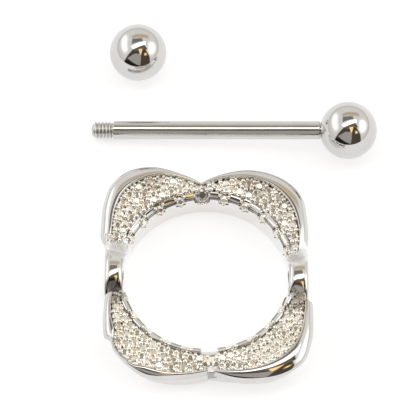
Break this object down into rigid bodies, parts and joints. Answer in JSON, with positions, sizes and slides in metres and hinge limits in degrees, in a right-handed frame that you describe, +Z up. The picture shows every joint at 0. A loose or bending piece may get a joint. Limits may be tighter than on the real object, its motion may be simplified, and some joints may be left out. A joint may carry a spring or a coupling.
{
  "type": "nipple shield with straight barbell",
  "caption": "Open ring of petal shape with polished rims and fields of small clear stones, with a straight barbell that passes through its side bands and a ball that screws on.",
  "frame": {"origin": "middle of the whole laid-out set, on the table plane", "axes": "+Z up from the table, +X to the right along the barbell, +Y to the back of the layout"},
  "size_m": [0.0248, 0.0344, 0.005],
  "materials": {
    "polished_silver": "mirror-polished silver plate on a cast ring",
    "polished_steel": "mirror-polished surgical steel",
    "clear_stone": "clear cut crystal, bright facets"
  },
  "bodies": {
    "root": {"shield_ring": "polished_silver", "stones_back_right": "clear_stone", "stones_back_left": "clear_stone", "stones_front_left": "clear_stone", "stones_front_right": "clear_stone", "barbell_bar": "polished_steel", "fixed_ball": "polished_steel", "loose_ball": "polished_steel"}
  },
  "joints": []
}
